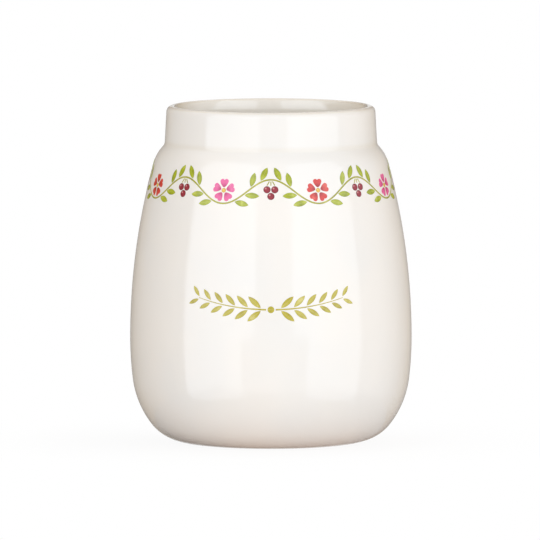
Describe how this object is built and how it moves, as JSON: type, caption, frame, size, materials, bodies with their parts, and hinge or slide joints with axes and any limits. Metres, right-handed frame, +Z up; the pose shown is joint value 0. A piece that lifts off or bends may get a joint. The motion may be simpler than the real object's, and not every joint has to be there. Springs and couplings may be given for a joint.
{
  "type": "utensil crock",
  "caption": "Glazed ceramic utensil crock: round belly, stepped shoulder, upright collar, open mouth and bare foot ring, with a printed garland and leafy sprig.",
  "frame": {"origin": "on the table, under the middle of the foot ring", "axes": "+Z up along the pot's axis; -Y is the front, where the sprig is; +X is to the right of it"},
  "size_m": [0.142, 0.142, 0.17],
  "materials": {
    "clay": "bare fired buff-white earthenware, matt",
    "glaze": "glossy warm off-white glaze",
    "stem_ink": "glossy fired olive-green print",
    "leaf_ink": "glossy fired lime-green print, uneven like watercolour",
    "red_ink": "glossy fired red print, uneven like watercolour",
    "pink_ink": "glossy fired pink print, uneven like watercolour",
    "eye_ink": "glossy fired yellow print",
    "berry_ink": "glossy fired maroon print, uneven like watercolour",
    "sprig_ink": "glossy fired olive-gold print, uneven like watercolour"
  },
  "bodies": {
    "root": {"clay_body": "clay", "outer_glaze": "glaze", "inner_glaze": "glaze", "base_glaze": "glaze", "stem_print": "stem_ink", "leaf_print": "leaf_ink", "red_petal_print": "red_ink", "pink_petal_print": "pink_ink", "blossom_eye_print": "eye_ink", "berry_print": "berry_ink", "sprig_print": "sprig_ink"}
  },
  "joints": []
}
